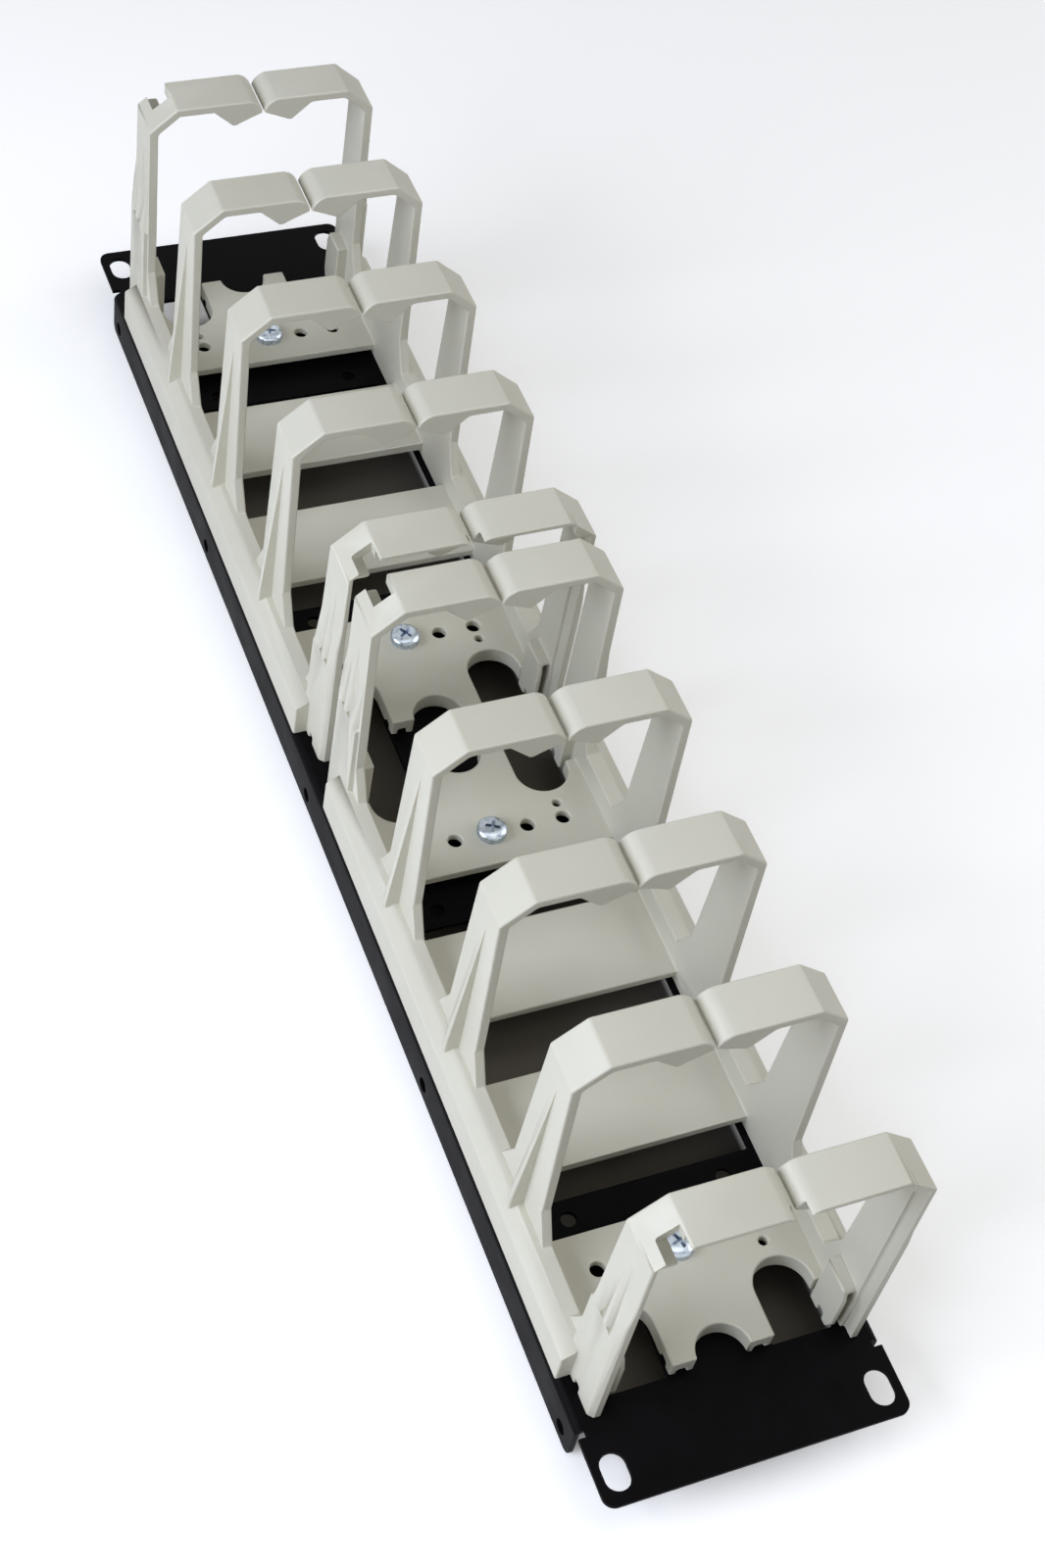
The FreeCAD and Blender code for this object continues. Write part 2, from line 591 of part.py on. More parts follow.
    # hollow rails, open to the panel
    sk = sk_("RailHollow", "XY_Plane")
    rw = S["rail_wall"]
    x0, x1 = -S["rail_long"] + rw, S["rail_short"] - rw
    for sy in (-1, 1):
        wire(sk, [(x0, (ro + 0.01) * sy), (x1, (ro + 0.01) * sy), (x1, (out - rw) * sy), (x0, (out - rw) * sy)])
    pocket(b, name + "_RailHollowCut", sk, rh - S["rail_chamfer_down"] - rw, flip=True)
    vol = check_cut(b, vol, "RailHollowCut")
    # floor plates, with the cable notches between the tabs at both ends
    sk = sk_("FloorOutline", "XY_Plane", S["floor_top"] - S["floor_thick"])
    yi = ri + 0.5
    hg = S["plate_gap"] / 2
    x1, ye = S["tab_end"], S["strip_end"]
    R, nx, ny, m = S["wide_notch_radius"], S["wide_notch_x"], S["wide_notch_y"], S["mid_notch_radius"]
    for s in (-1, 1):
        wire(sk, [(hg * s, -yi), ((p - hg) * s, -yi), ((p - hg) * s, yi), (hg * s, yi)])
        x0 = p + hg
        cw = "cw" if s > 0 else "ccw"
        pts = [(x0 * s, -yi), (ye * s, -yi), (ye * s, -ny - R), (nx * s, -ny - R),
               (nx * s, -ny + R), (x1 * s, -ny + R), (x1 * s, -m), (x1 * s, m),
               (x1 * s, ny - R), (nx * s, ny - R), (nx * s, ny + R), (ye * s, ny + R),
               (ye * s, yi), (x0 * s, yi)]
        arcs = {3: (nx * s, -ny, cw, "x"), 6: (x1 * s, 0, cw, "x"), 9: (nx * s, ny, cw, "x")}
        wire(sk, pts, arcs)
    pad(b, name + "_Floor", sk, S["floor_thick"])
    # skirts around the notches, down to the panel
    k, skirt = S["skirt_wall"], S["floor_top"] - S["floor_thick"] * 0.5
    for s in (-1, 1):
        tag = "L" if s < 0 else "R"
        cw, ccw = ("cw", "ccw") if s > 0 else ("ccw", "cw")
        sk = sk_("SkirtOutline" + tag, "XY_Plane")
        for sy in (-1, 1):
            c1, c2 = (cw, ccw) if sy > 0 else (ccw, cw)
            y = ny * sy
            wire(sk, [(x1 * s, (ny - R - k) * sy), (x1 * s, (ny - R) * sy), (nx * s, (ny - R) * sy),
                      (nx * s, (ny + R) * sy), (ye * s, (ny + R) * sy), (ye * s, (ny + R + k) * sy),
                      (nx * s, (ny + R + k) * sy), (nx * s, (ny - R - k) * sy)],
                 {2: (nx * s, y, c1, "x"), 6: (nx * s, y, c2, "x")})
        wire(sk, [(x1 * s, -m - k), (x1 * s, -m), (x1 * s, m), (x1 * s, m + k)],
             {1: (x1 * s, 0, cw, "x"), 3: (x1 * s, 0, ccw, "x")})
        pad(b, name + "_Skirts" + tag, sk, skirt)
        # end face of the tabs between two skirts
        sk = sk_("TabEndOutline" + tag, "XY_Plane")
        for sy in (-1, 1):
            wire(sk, [((x1 - k) * s, (m + k * 0.5) * sy), (x1 * s, (m + k * 0.5) * sy),
                      (x1 * s, (ny - R - k * 0.5) * sy), ((x1 - k) * s, (ny - R - k * 0.5) * sy)])
        pad(b, name + "_TabEnds" + tag, sk, skirt)
    # bosses below the two screws
    sk = sk_("BossOutline", "XY_Plane")
    for q in (-1, 1):
        circle(sk, S["hole_row"] * q, 0, S["boss"])
    pad(b, name + "_Bosses", sk, skirt)
    doc.recompute()
    vol = b.Shape.Volume
    # notches under the tab ends and the skirts beside them
    sk = sk_("TabNotches", "XY_Plane")
    th, tw = S["tooth_height"], S["tooth_width"]
    for s in (-1, 1):
        for sy in (-1, 1):
            c = (m + ny - R) / 2
            wire(sk, [((x1 - k - 0.3) * s, (c - tw / 2) * sy), ((x1 + 1) * s, (c - tw / 2) * sy),
                      ((x1 + 1) * s, (c + tw / 2) * sy), ((x1 - k - 0.3) * s, (c + tw / 2) * sy)])
            wire(sk, [((x1 - tw * 2) * s, (ny - R - k - 0.3) * sy), ((x1 - tw) * s, (ny - R - k - 0.3) * sy),
                      ((x1 - tw) * s, (ny - R + 0.5) * sy), ((x1 - tw * 2) * s, (ny - R + 0.5) * sy)])
    pocket(b, name + "_TabNotchCut", sk, th, flip=True)
    vol = check_cut(b, vol, "TabNotchCut")
    # holes through the floor: screws, spare holes and small locating holes
    sk = sk_("FloorHoles", "XY_Plane")
    for q in (-1, 1):
        row = S["hole_row"]
        circle(sk, row * q, 0, G.screw_bore)
        for j in (-2, -1, 1, 2):
            circle(sk, row * q, S["hole_pitch"] * j, S["spare_hole"])
        for j in (-2, 2):
            circle(sk, (row + S["pip_offset"]) * q, S["hole_pitch"] * j, S["pip_hole"])
    pocket(b, name + "_FloorHoleCut", sk, S["floor_top"] * 4, both=True)
    vol = check_cut(b, vol, "FloorHoleCut")
    # stepped notches in the end rings' shoulders at -Y, open to the duct's ends
    tl, ti = S["top_notch_length"], ro - S["shoulder_across"]
    for tag, to, depth in (("Through", S["top_notch_through"], S["shoulder_down"] + w * 2 + 3),
                           ("Ledge", S["top_notch_outer"], S["top_notch_ledge"] + 1)):
        sk = sk_("TopNotch" + tag, "XY_Plane", H + 1)
        for s in (-1, 1):
            wire(sk, [((end - tl) * s, -ti), ((end + 1) * s, -ti),
                      ((end + 1) * s, -to), ((end - tl) * s, -to)])
        pocket(b, name + "_TopNotch%sCut" % tag, sk, depth)
        vol = check_cut(b, vol, "TopNotchCut")
    return place_duct(b, side)


def same_duct(name, first, side):
    """A second copy of the same moulding."""
    b = body(name)
    b.BaseFeature = first
    doc.recompute()
    return place_duct(b, side)


# ---------------------------------------------------------------- fasteners
def screw(name, side, q):
    """Pan head screw with a cross recess; Z 0 is the seat under its head."""
    b = body(name)
    hr, hh, rim, sr = S["head_dia"] / 2, S["head_height"], S["head_rim"], S["screw_dia"] / 2
    L = S["screw_length"]
    # the crown steps from the rim to the flat middle of the head in two cones
    sk = sketch(b, name + "_Profile", "XZ_Plane")
    crown = hh - rim
    wire(sk, [(0, -L), (sr - 0.6, -L), (sr, -L + 0.6), (sr, 0), (hr, 0), (hr, rim),
              (hr * 0.86, rim + crown * 0.65), (hr * 0.5, hh), (0, hh)])
    f = b.newObject("PartDesign::Revolution", name + "_Turned")
    f.Profile = sk
    f.ReferenceAxis = (sk, ["V_Axis"])
    f.Angle = 360.0
    b.Tip = f
    doc.recompute()
    vol = b.Shape.Volume
    sk = sketch(b, name + "_Recess", "XY_Plane", hh)
    a, c = S["recess_width"] / 2, S["recess_span"] / 2
    wire(sk, [(a, a), (a, c), (-a, c), (-a, a), (-c, a), (-c, -a), (-a, -a), (-a, -c),
              (a, -c), (a, -a), (c, -a), (c, a)])
    f = pocket(b, name + "_RecessCut", sk, S["recess_depth"])
    check_cut(b, vol, "RecessCut")
    b.setExpression("Placement.Base.x", (G.duct_centre * side + S["hole_row"] * q).t)
    b.setExpression("Placement.Base.z", (S["flange_depth"] + S["floor_top"]).t)
    return b


def lock_nut(name, side, q):
    """Hexagon lock nut with its collar to the rear; Z 0 is its seat."""
    b = body(name)
    sk = sketch(b, name + "_Hexagon", "XY_Plane")
    r = S["nut_flats"] / Size(3.0, "3").root()
    pts = []
    for i in range(6):
        cx, cy = [(1, 0), (0.5, 1), (-0.5, 1), (-1, 0), (-0.5, -1), (0.5, -1)][i]
        x = r * cx
        y = 0 if cy == 0 else S["nut_flats"] / 2 * cy
        pts.append((x, y))
    wire(sk, pts)
    pad(b, name + "_HexagonPad", sk, S["nut_hex"], down=True)
    sk = sketch(b, name + "_Collar", "XY_Plane")
    circle(sk, 0, 0, S["nut_collar_dia"])
    pad(b, name + "_CollarPad", sk, S["nut_hex"] + S["nut_collar"], down=True)
    doc.recompute()
    vol = b.Shape.Volume
    sk = sketch(b, name + "_Bore", "XY_Plane")
    circle(sk, 0, 0, S["screw_dia"] + 0.04)
    pocket(b, name + "_BoreCut", sk, S["nut_hex"] * 4, both=True)
    check_cut(b, vol, "BoreCut")
    b.setExpression("Placement.Base.x", (G.duct_centre * side + S["hole_row"] * q).t)
    b.setExpression("Placement.Base.z", (S["flange_depth"] - S["sheet_thick"]).t)
    return b


# ------------------------------------------------------------------ assembly
duct = ring_duct("ring_duct_a", 1)
parts = [front_panel(), duct, same_duct("ring_duct_b", duct, -1)]
for i, (side, q) in enumerate([(1, 1), (1, -1), (-1, 1), (-1, -1)], start=1):
    parts.append(screw("pan_screw_%d" % i, side, q))
    parts.append(lock_nut("lock_nut_%d" % i, side, q))
doc.recompute()

bad = [o.Name for o in doc.Objects if "Invalid" in o.State or "Error" in o.State]
if bad:
    raise RuntimeError("failed objects: " + ", ".join(bad))
os.makedirs("parts", exist_ok=True)
for b in parts:
    shape = b.Shape
    if shape.isNull() or not shape.isValid():
        raise RuntimeError("bad shape: " + b.Label)
    if len(shape.Solids) != 1:
        raise RuntimeError("%s has %d solids" % (b.Label, len(shape.Solids)))
for b in parts:
    b.Shape.exportStep(os.path.join("parts", b.Label + ".step"))
    print("%-14s volume %10.1f  box %s" % (b.Label, b.Shape.Volume, b.Shape.BoundBox))
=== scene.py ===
# %% [markdown]
# # A rack cable manager: soft-edged plastic rings on a black steel panel
#
# This lesson dresses a horizontal cable manager.  The real thing is a folded
# steel panel, powder coated black, that carries two long mouldings of ivory
# plastic.  Each moulding is a row of five split rings on a slotted floor.
# The frame gives every piece its true size, so the work here is on what the
# eye reads as real: softly rounded edges, a moulded skin, a powder coat and
# bright zinc screws with a thread.

# %% Load the frame
import math

import bmesh
import bpy
from mathutils import Matrix, Vector


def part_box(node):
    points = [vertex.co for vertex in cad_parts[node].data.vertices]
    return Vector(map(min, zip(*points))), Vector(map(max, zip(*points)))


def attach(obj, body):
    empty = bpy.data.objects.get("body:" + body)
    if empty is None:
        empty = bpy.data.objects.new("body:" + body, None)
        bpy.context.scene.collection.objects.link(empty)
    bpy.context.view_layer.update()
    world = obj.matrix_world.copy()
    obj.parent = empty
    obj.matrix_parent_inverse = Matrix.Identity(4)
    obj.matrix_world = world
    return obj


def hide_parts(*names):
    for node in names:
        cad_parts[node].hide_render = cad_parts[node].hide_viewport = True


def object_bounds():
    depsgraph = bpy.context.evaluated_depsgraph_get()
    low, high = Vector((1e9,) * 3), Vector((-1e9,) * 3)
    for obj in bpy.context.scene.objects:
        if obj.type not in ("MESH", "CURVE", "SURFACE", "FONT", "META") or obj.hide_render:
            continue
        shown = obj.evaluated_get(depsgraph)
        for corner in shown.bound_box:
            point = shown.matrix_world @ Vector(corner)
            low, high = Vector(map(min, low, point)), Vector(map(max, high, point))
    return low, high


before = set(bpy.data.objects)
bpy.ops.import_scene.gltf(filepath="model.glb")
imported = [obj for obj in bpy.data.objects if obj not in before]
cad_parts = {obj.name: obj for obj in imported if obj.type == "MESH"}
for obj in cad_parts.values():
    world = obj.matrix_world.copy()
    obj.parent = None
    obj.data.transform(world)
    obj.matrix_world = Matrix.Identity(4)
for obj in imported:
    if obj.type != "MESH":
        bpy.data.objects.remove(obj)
cad_box = [list(p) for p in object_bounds()]
MM = 0.001
print("frame loaded:", sorted(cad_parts))

# %% [markdown]
# ## The camera
#
# The object is long and low, so the picture looks down its length from one
# end.  A lens of 57 mm on a 36 mm high sensor keeps a natural perspective.
# The camera could be aimed with a Track To constraint, but a plain matrix
# built from the view's direction and its up vector is easier to read and
# never drifts.

# %% Camera
bpy.ops.object.select_all(action="DESELECT")
CAMERA_PLACE = (0.4262, -0.2277, 0.6056)
look = Vector((-0.5359, 0.3246, -0.7794)).normalized()
up = Vector((-0.7658, 0.2019, 0.6106))
right = look.cross(up).normalized()
up = right.cross(look).normalized()
bpy.ops.object.camera_add(location=CAMERA_PLACE)
camera = bpy.context.object
camera.name = "studio_camera"
turn = Matrix((right, up, -look)).transposed()
camera.matrix_world = Matrix.Translation(CAMERA_PLACE) @ turn.to_4x4()
camera.data.sensor_width = 36.0
camera.data.lens = 56.79
camera.data.clip_start = 0.01
camera.data.clip_end = 20.0
bpy.context.scene.camera = camera
print("camera at", [round(v, 3) for v in camera.location])

# %% [markdown]
# ## Small helpers
#
# Colours are written the way paint and plastic charts give them, as sRGB hex
# values, and one function turns them into the linear numbers that the shader
# wants.  One more function adds a shader node with its settings and links,
# which keeps each material short enough to read like a recipe.


# %% Colour and node helpers
def linear(hex_colour):
    """sRGB hex such as 'c9c7b8' to linear RGBA."""
    parts = [int(hex_colour[i:i + 2], 16) / 255.0 for i in (0, 2, 4)]
    return tuple(c / 12.92 if c <= 0.04045 else ((c + 0.055) / 1.055) ** 2.4
                 for c in parts) + (1.0,)


def add_node(tree, kind, settings=None, **inputs):
    """Adds one node; an input is a plain value or another node's output.

    Inputs go by name, with _ for a space, or by number as i0, i1 and so on."""
    node = tree.nodes.new(kind)
    for key, value in (settings or {}).items():
        setattr(node, key, value)
    for key, value in inputs.items():
        numbered = key[0] == "i" and key[1:].isdigit()
        socket = node.inputs[int(key[1:]) if numbered else key.replace("_", " ")]
        if isinstance(value, bpy.types.NodeSocket):
            tree.links.new(value, socket)
        else:
            socket.default_value = value
    return node


def new_material(name):
    """An empty node material and its tree."""
    material = bpy.data.materials.new(name)
    material.use_nodes = True
    tree = material.node_tree
    tree.nodes.clear()
    return material, tree


print("ivory in linear:", [round(c, 3) for c in linear("c9c7b8")])

# %% [markdown]
# ## Ivory moulded plastic
#
# The ducts are injection moulded, probably in ABS or a PC blend, in a warm
# off-white.  The mould has a fine spark-eroded skin, so the surface is satin:
# highlights are broad and never sharp.  Thin plastic also lets a little light
# in, which lifts the shaded faces.  The skin is a bump with grains of a third
# of a millimetre, and two slow patterns vary the colour and the gloss a
# little, as flow in the mould and handling do.

# %% Ivory plastic
ivory, t = new_material("ivory_moulded_abs")
place = add_node(t, "ShaderNodeTexCoord").outputs["Object"]
# slow patches of flow in the mould, about 40 mm across
flow = add_node(t, "ShaderNodeTexNoise", None, Vector=place, Scale=25.0,
                Detail=3.0, Roughness=0.55).outputs["Fac"]
tint = add_node(t, "ShaderNodeValToRGB", None, Fac=flow)
tint.color_ramp.elements[0].position = 0.3
tint.color_ramp.elements[0].color = linear("c9c7b8")
tint.color_ramp.elements[1].position = 0.75
tint.color_ramp.elements[1].color = linear("cfcdc0")
# handling leaves some places a little glossier, about 8 mm across
worn = add_node(t, "ShaderNodeTexNoise", None, Vector=place, Scale=120.0,
                Detail=2.0).outputs["Fac"]
gloss = add_node(t, "ShaderNodeMapRange", None, Value=worn, From_Min=0.3, From_Max=0.7,
                 To_Min=0.42, To_Max=0.52).outputs["Result"]
# spark-eroded grain of 0.3 mm
grain = add_node(t, "ShaderNodeTexNoise", None, Vector=place, Scale=3300.0,
                 Detail=2.0).outputs["Fac"]
skin = add_node(t, "ShaderNodeBump", None, Strength=0.12, Distance=0.06 * MM,
                Height=grain).outputs["Normal"]
shader = add_node(t, "ShaderNodeBsdfPrincipled", None, Base_Color=tint.outputs["Color"],
                  Roughness=gloss, IOR=1.54, Normal=skin)
# light goes a millimetre and a half into the plastic, red the deepest
shader.inputs["Subsurface Weight"].default_value = 0.12
shader.inputs["Subsurface Radius"].default_value = (1.0, 0.85, 0.6)
shader.inputs["Subsurface Scale"].default_value = 1.5 * MM
add_node(t, "ShaderNodeOutputMaterial", None, Surface=shader.outputs["BSDF"])
print(ivory.name, "has", len(t.nodes), "nodes")

# %% [markdown]
# ## Black powder coat
#
# The panel is sprayed with a dry powder that melts in an oven.  That leaves a
# satin black film with a faint orange peel: low waves about a millimetre
# apart, with a much finer grain on top.  The waves are the pattern that shows,
# because they break up the light along the folded edges.  A deep black film
# mirrors very little, so its specular level is set low.

# %% Powder coat
powder, t = new_material("black_powder_coat")
place = add_node(t, "ShaderNodeTexCoord").outputs["Object"]
# waves of 1.1 mm and grains of 0.25 mm
waves = add_node(t, "ShaderNodeTexNoise", None, Vector=place, Scale=900.0,
                 Detail=2.0, Roughness=0.5).outputs["Fac"]
fine = add_node(t, "ShaderNodeTexNoise", None, Vector=place, Scale=4200.0,
                Detail=1.0).outputs["Fac"]
both = add_node(t, "ShaderNodeMath", {"operation": "MULTIPLY_ADD"}, i0=fine,
                i1=0.35, i2=waves).outputs["Value"]
peel = add_node(t, "ShaderNodeBump", None, Strength=0.25, Distance=0.1 * MM,
                Height=both).outputs["Normal"]
# dust and handling change the tone in patches of 17 mm
dust = add_node(t, "ShaderNodeTexNoise", None, Vector=place, Scale=60.0,
                Detail=4.0, Roughness=0.6).outputs["Fac"]
shade = add_node(t, "ShaderNodeValToRGB", None, Fac=dust)
shade.color_ramp.elements[0].position = 0.35
shade.color_ramp.elements[0].color = linear("0a090a")
shade.color_ramp.elements[1].position = 0.8
shade.color_ramp.elements[1].color = linear("100f11")
film = add_node(t, "ShaderNodeMapRange", None, Value=dust, From_Min=0.3, From_Max=0.7,
                To_Min=0.38, To_Max=0.5).outputs["Result"]
shader = add_node(t, "ShaderNodeBsdfPrincipled", None, Base_Color=shade.outputs["Color"],
                  Roughness=film, IOR=1.5, Normal=peel)
shader.inputs["Specular IOR Level"].default_value = 0.03
add_node(t, "ShaderNodeOutputMaterial", None, Surface=shader.outputs["BSDF"])
print(powder.name, "has", len(t.nodes), "nodes")

# %% [markdown]
# ## Zinc-plated steel
#
# The screws and nuts are steel with a bright zinc plate, passivated to a
# slightly blue tone.  Plated heads are never mirror flat: barrel plating
# leaves them softly rumpled, with a cloudy gloss.

# %% Zinc plate
zinc, t = new_material("blue_zinc_plate")
place = add_node(t, "ShaderNodeTexCoord").outputs["Object"]
# the rumples of barrel plating are about 1.4 mm apart
cloud = add_node(t, "ShaderNodeTexNoise", None, Vector=place, Scale=700.0,
                 Detail=3.0).outputs["Fac"]
tone = add_node(t, "ShaderNodeValToRGB", None, Fac=cloud)
tone.color_ramp.elements[0].position = 0.3
tone.color_ramp.elements[0].color = linear("a9b6c6")
tone.color_ramp.elements[1].position = 0.7
tone.color_ramp.elements[1].color = linear("d3dbe4")
matt = add_node(t, "ShaderNodeMapRange", None, Value=cloud, From_Min=0.3, From_Max=0.7,
                To_Min=0.22, To_Max=0.36).outputs["Result"]
rumple = add_node(t, "ShaderNodeBump", None, Strength=0.2, Distance=0.1 * MM,
                  Height=cloud).outputs["Normal"]
shader = add_node(t, "ShaderNodeBsdfPrincipled", None, Base_Color=tone.outputs["Color"],
                  Metallic=1.0, Roughness=matt, Normal=rumple)
add_node(t, "ShaderNodeOutputMaterial", None, Surface=shader.outputs["BSDF"])
print(zinc.name, "has", len(t.nodes), "nodes")

# %% [markdown]
# ## Softly rounded edges
#
# No moulded or coated edge is a knife edge: plastic comes out of the mould
# with a radius of half a millimetre or so, and powder flows round the edges
# of the sheet.  Those radii catch thin highlights that make the shape
# readable.  The solids have sharp edges there, so each one is copied, its
# loose triangles are merged, flat areas are dissolved back into whole faces,
# and a Bevel modifier rounds every edge that turns by more than 30 degrees.
#
# One small step in the mesh would hold the rounding of the whole piece down
# to its own size if the modifier clamped overlaps.  Instead every edge gets a
# bevel weight of its own: the full radius where there is room for it, and
# less beside short steps and thin walls.  A rounding that still folds over
# at some corner is found by its triangles, which face the wrong way.  The
# edges there are eased or left sharp, and the bevel is made again, until
# nothing folds or the tries are used up.


# %% How much room an edge has
NO_LIMIT = 1.0                          # a metre, wider than any bevel
BEND = 0.5                              # sine of the turn from which a side limits
BESIDE_SHARP, BESIDE_PLAIN = 0.42, 0.85  # share of a side that one bevel may take
FACE_TO_FACE = -0.2                     # cosine below which two edges face each other
FACING_SHARE = 0.4                      # share of the gap between them


def room_at_corners(edge, sharp):
    """The widest bevel that the sides next to an edge leave."""
    room = NO_LIMIT
    for corner in edge.verts:
        along = (edge.other_vert(corner).co - corner.co).normalized()
        for face in edge.link_faces:
            for side in face.edges:
                if side is edge or corner not in side.verts:
                    continue
                out = side.other_vert(corner).co - corner.co
                across = along.cross(out.normalized()).length
                if across > BEND:
                    share = BESIDE_SHARP if side in sharp else BESIDE_PLAIN
                    room = min(room, share * out.length * across)
    return room


def distance_to_side(point, start, end):
    """How far a point is from the straight side between two corners."""
    run = end - start
    share = min(1.0, max(0.0, (point - start).dot(run) / run.length_squared))
    return (start + run * share - point).length


def room_across_faces(work, sharp, widest):
    """Where two sharp edges face each other over one face, both share its width."""
    room = {}
    for face in work.faces:
        sides = []
        for loop in face.loops:
            if loop.edge in sharp:
                a, b = loop.vert.co, loop.link_loop_next.vert.co
                sides.append((loop.edge, a, b, face.normal.cross(b - a).normalized()))
        for n, (edge_1, a1, b1, in_1) in enumerate(sides):
            for edge_2, a2, b2, in_2 in sides[n + 1:]:
                apart = (a2 + b2) - (a1 + b1)
                if in_1.dot(in_2) > FACE_TO_FACE or apart.dot(in_1) < 0.0:
                    continue
                gap = widest
                for point, start, end in ((a1, a2, b2), (b1, a2, b2),
                                          (a2, a1, b1), (b2, a1, b1)):
                    gap = min(gap, distance_to_side(point, start, end))
                for edge in (edge_1, edge_2):
                    room[edge] = min(room.get(edge, NO_LIMIT), FACING_SHARE * gap)
    return room


# %% Where a rounding folded over
FOLD_AREA = 2e-8                        # square metres; smaller slivers don't show
FOLD_TURN = 0.5                         # cosine between a triangle and its face
FOLD_LOOP = 1.2 * MM                    # longest little loop where two sides cross


def folded_places(mesh):
    """Places where small triangles turned over in a rounded mesh."""
    mesh.calc_loop_triangles()
    places = []
    for tri in mesh.loop_triangles:
        face = mesh.polygons[tri.polygon_index]
        if tri.area <= FOLD_AREA or tri.normal.dot(face.normal) >= FOLD_TURN:
            continue
        ring = [mesh.vertices[v].co for v in face.vertices]
        count = len(ring)
        crossed = []
        for n in range(count):
            side = (ring[(n + 1) % count] - ring[n]).normalized()
            for step in (2, 3):
                far = (ring[(n + step + 1) % count]
                       - ring[(n + step) % count]).normalized()
                first, last = ring[(n + 1) % count], ring[(n + step) % count]
                back = last - first
                turned_back = back.dot(side) < 0.0 and back.dot(far) < 0.0
                if back.length < FOLD_LOOP and turned_back:
                    crossed.append(first.lerp(last, 0.5))
        places += crossed or [mesh.vertices[v].co.copy() for v in tri.vertices]
    return places


# %% Rounded copy
SMOOTH_TURN = math.radians(32.0)        # faces that turn less are shaded as one
ROUND_STEPS = 3


def bevelled(mesh, radius):
    """A finished copy of a weighted mesh with its edges rounded."""
    piece = bpy.data.objects.new("edge_trial", mesh.copy())
    bpy.context.collection.objects.link(piece)
    bpy.context.view_layer.objects.active = piece
    bpy.ops.object.select_all(action="DESELECT")
    piece.select_set(True)
    bevel = piece.modifiers.new("edge_radius", "BEVEL")
    bevel.width = radius
    bevel.segments = ROUND_STEPS
    bevel.limit_method = "WEIGHT"
    bevel.use_clamp_overlap = False
    bevel.loop_slide = False            # even widths, without sliding along flat seams
    bevel.miter_outer = "MITER_ARC"
    bevel.harden_normals = True
    bpy.ops.object.shade_smooth_by_angle(angle=SMOOTH_TURN)
    bpy.ops.object.modifier_apply(modifier="edge_radius")
    return piece


# %% Edge rounding
MERGE_GAP = 0.002 * MM
FLAT_TURN = math.radians(0.5)           # what turns less is one flat face
SHARP_TURN = math.radians(30.0)         # what turns more is rounded
SHORT_EDGE = 8.0 * MM
TRIES = 8


def soften(node, new_name, radius, material):
    """A copy of a solid with its edges rounded, standing in for it."""
    bpy.ops.object.select_all(action="DESELECT")
    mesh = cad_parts[node].data.copy()
    blank = bpy.data.objects.new("blank", mesh)
    bpy.context.collection.objects.link(blank)
    bpy.context.view_layer.objects.active = blank
    blank.select_set(True)
    bpy.ops.object.mode_set(mode="EDIT")
    bpy.ops.mesh.select_all(action="SELECT")
    bpy.ops.mesh.remove_doubles(threshold=MERGE_GAP)
    bpy.ops.mesh.dissolve_limited(angle_limit=FLAT_TURN, delimit=set())
    bpy.ops.object.mode_set(mode="OBJECT")
    work = bmesh.new()
    work.from_mesh(mesh)
    weight = work.edges.layers.float.new("bevel_weight_edge")
    sharp = {e for e in work.edges if len(e.link_faces) == 2
             and e.calc_face_angle(0.0) > SHARP_TURN}
    facing = room_across_faces(work, sharp, 3.0 * radius)
    for e in sharp:
        e[weight] = min(1.0, room_at_corners(e, sharp) / radius,
                        facing.get(e, NO_LIMIT) / radius)
    for attempt in range(TRIES):
        work.to_mesh(mesh)
        piece = bevelled(mesh, radius)
        folds = folded_places(piece.data)
        print(new_name, "try", attempt + 1, "folded places", len(folds))
        if not folds or attempt == TRIES - 1:
            break
        reach = (0.5 + 0.3 * attempt) * radius      # wider with each try
        for e in sharp:                 # long edges are eased before they are left sharp
            a, b = e.verts[0].co, e.verts[1].co
            if any(distance_to_side(point, a, b) < reach for point in folds):
                leave_sharp = attempt > 1 or e.calc_length() < SHORT_EDGE
                e[weight] = 0.0 if leave_sharp else 0.5 * e[weight]
        bpy.data.objects.remove(piece)
    work.free()
    bpy.data.objects.remove(blank)
    piece.name = new_name
    piece.data.materials.clear()
    piece.data.materials.append(material)
    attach(piece, "root")
    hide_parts(node)
    print(new_name, "faces", len(piece.data.polygons))


MOULD_RADIUS = 0.65 * MM
COAT_RADIUS = 0.25 * MM
soften("ring_duct_a", "duct_moulding_near", MOULD_RADIUS, ivory)
soften("ring_duct_b", "duct_moulding_far", MOULD_RADIUS, ivory)
soften("front_panel", "panel_folded_sheet", COAT_RADIUS, powder)

# %% [markdown]
# ## Pan head screws
#
# A pan head is cold formed from wire: a short rim, a crown that flattens
# towards the middle, and a cross recess punched into it.  The head starts as
# a cylinder whose top face is extruded and narrowed in small steps, which
# gives full control over the crown.  The recess is cut by a Boolean with two
# tapered bars.  The thread is one tooth of the profile, swept by a Screw
# modifier, round a plain core.


# %% Selection helper
def pick_faces(piece, test):
    """Edit mode with just the faces selected that pass the test."""
    bpy.ops.object.select_all(action="DESELECT")
    bpy.context.view_layer.objects.active = piece
    piece.select_set(True)
    bpy.ops.object.mode_set(mode="EDIT")
    bpy.ops.mesh.select_mode(type="FACE")
    bpy.ops.mesh.select_all(action="DESELECT")
    bpy.ops.object.mode_set(mode="OBJECT")
    for face in piece.data.polygons:
        face.select = bool(test(face))
    bpy.ops.object.mode_set(mode="EDIT")


